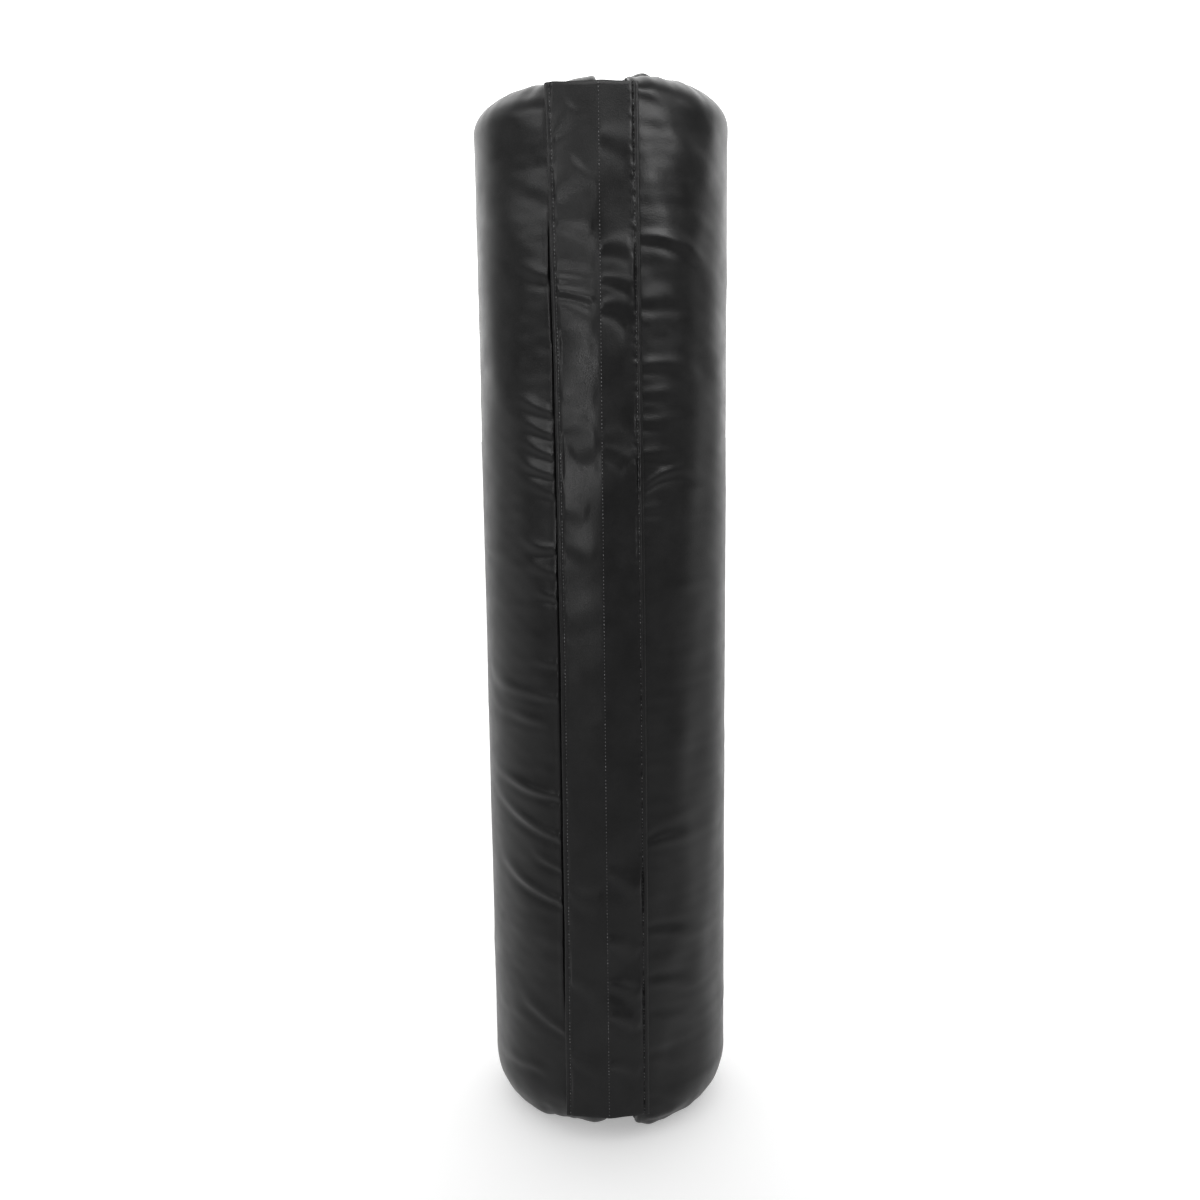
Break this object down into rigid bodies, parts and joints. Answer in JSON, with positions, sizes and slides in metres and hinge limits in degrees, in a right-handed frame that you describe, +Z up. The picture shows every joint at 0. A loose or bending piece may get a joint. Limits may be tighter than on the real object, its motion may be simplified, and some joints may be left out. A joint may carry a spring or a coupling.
{
  "type": "wrap-round punch pad",
  "caption": "Tall round padded punch pad in black vinyl that wraps round a post, hinged down the back and closed down the front by a full-height hook-and-loop flap.",
  "frame": {"origin": "centre of the bottom face, on the bore's axis, at floor level", "axes": "+Z up along the bore, -Y out through the slit and the closing flap, +X to the right as seen by someone who faces the flap"},
  "size_m": [0.3, 0.3039, 1.25],
  "materials": {
    "cover_vinyl": "satin",
    "cap_vinyl": "satin",
    "flap_vinyl": "satin",
    "slit_facing": "satin",
    "bore_lining": "matte",
    "firm_foam": "matte",
    "soft_foam": "matte",
    "hook_tape": "matte",
    "loop_tape": "matte"
  },
  "bodies": {
    "right_half": {"right_outer_cover": "cover_vinyl", "right_bore_lining": "bore_lining", "right_slit_facing": "slit_facing", "right_top_cap": "cap_vinyl", "right_bottom_cap": "cap_vinyl", "right_inner_foam": "firm_foam", "right_outer_foam": "soft_foam", "flap_seam_band": "flap_vinyl"},
    "left_half": {"left_outer_cover": "cover_vinyl", "left_bore_lining": "bore_lining", "left_slit_facing": "slit_facing", "left_top_cap": "cap_vinyl", "left_bottom_cap": "cap_vinyl", "left_inner_foam": "firm_foam", "left_outer_foam": "soft_foam", "loop_tape": "loop_tape"},
    "flap_bridge": {"flap_bridge_backing": "flap_vinyl", "flap_bridge_face": "flap_vinyl"},
    "flap_tab": {"flap_tab_backing": "flap_vinyl", "flap_tab_face": "flap_vinyl", "hook_tape": "hook_tape"}
  },
  "joints": [
    {"name": "wrap_open", "type": "hinge", "parent": "right_half", "child": "left_half", "pos_m": [0, 0.15, 0], "axis": [0, 0, -1], "range_deg": [0, 35], "stiffness_Nm_per_rad": 5},
    {"name": "flap_swing", "type": "hinge", "parent": "right_half", "child": "flap_bridge", "pos_m": [0.02027, -0.15084, 0], "axis": [0, 0, 1], "range_deg": [0, 105]},
    {"name": "tab_peel", "type": "hinge", "parent": "flap_bridge", "child": "flap_tab", "pos_m": [-0.01858, -0.15368, 0], "axis": [0, 0, 1], "range_deg": [0, 145]}
  ],
  "couplings": [
    {"joint": "flap_swing", "follows": "wrap_open", "ratio": 3}
  ]
}
